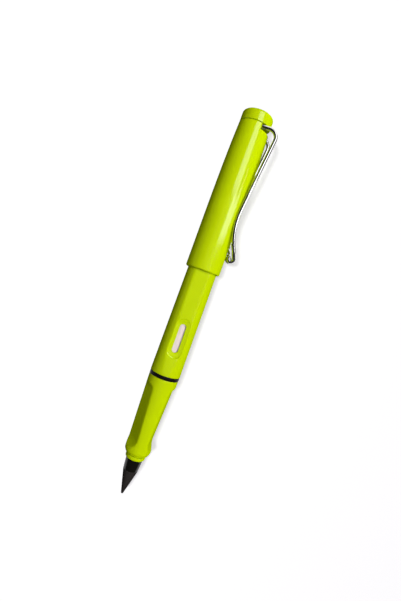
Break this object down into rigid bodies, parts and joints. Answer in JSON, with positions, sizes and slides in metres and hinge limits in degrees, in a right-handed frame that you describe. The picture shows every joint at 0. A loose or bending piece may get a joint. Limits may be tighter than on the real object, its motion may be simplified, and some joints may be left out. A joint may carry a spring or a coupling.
{
  "type": "inkless pencil",
  "caption": "Pen-shaped inkless pencil: screw-in graphite point, scooped grip, windowed barrel, and a pull-off cap with a sprung wire clip, posted on the tail.",
  "frame": {"origin": "centre of the flat end face of the cap's finial", "axes": "+X runs along the axis from the writing point to the cap's end, +Z is the way the barrel's window flat faces, and the clip is on the -Y side"},
  "size_m": [0.1623, 0.0179, 0.0142],
  "materials": {
    "lime_body": "glossy moulded ABS, lime",
    "black_plastic": "glossy moulded ABS, black",
    "white_tube": "satin moulded polypropylene, white",
    "graphite": "turned graphite alloy, dark grey satin",
    "clip_steel": "polished plated wire"
  },
  "bodies": {
    "barrel": {"barrel": "lime_body", "barrel_plug": "lime_body"},
    "cap": {"cap_shell": "lime_body", "inner_cap": "black_plastic", "finial": "lime_body"},
    "clip": {"clip": "clip_steel"},
    "ring": {"joint_ring": "black_plastic"},
    "grip": {"grip": "lime_body", "grip_core": "black_plastic", "core_tube": "white_tube"},
    "collar": {"nose_collar": "lime_body"},
    "tip": {"graphite_tip": "graphite", "tip_sleeve": "black_plastic"}
  },
  "joints": [
    {"name": "cap_pull", "type": "slide", "parent": "barrel", "child": "cap", "axis": [1, 0, 0], "range_m": [0, 0.032]},
    {"name": "clip_flex", "type": "hinge", "parent": "cap", "child": "clip", "pos_m": [-0.00546, -0.0064, 0], "axis": [0, 0, 1], "range_deg": [0, 4], "stiffness_Nm_per_rad": 2.4},
    {"name": "ring_travel", "type": "slide", "parent": "barrel", "child": "ring", "axis": [-1, 0, 0], "range_m": [0, 0.0081]},
    {"name": "grip_turn", "type": "hinge", "parent": "ring", "child": "grip", "pos_m": [-0.11125, 0, 0], "axis": [-1, 0, 0], "range_deg": [0, 2160]},
    {"name": "collar_travel", "type": "slide", "parent": "grip", "child": "collar", "axis": [-1, 0, 0], "range_m": [0, 0.0048]},
    {"name": "tip_turn", "type": "hinge", "parent": "collar", "child": "tip", "pos_m": [-0.1464, 0, 0], "axis": [-1, 0, 0], "range_deg": [0, 2160]}
  ],
  "couplings": [
    {"joint": "ring_travel", "follows": "grip_turn", "m_per_rad": 0.0002148},
    {"joint": "collar_travel", "follows": "tip_turn", "m_per_rad": 0.0001273}
  ]
}
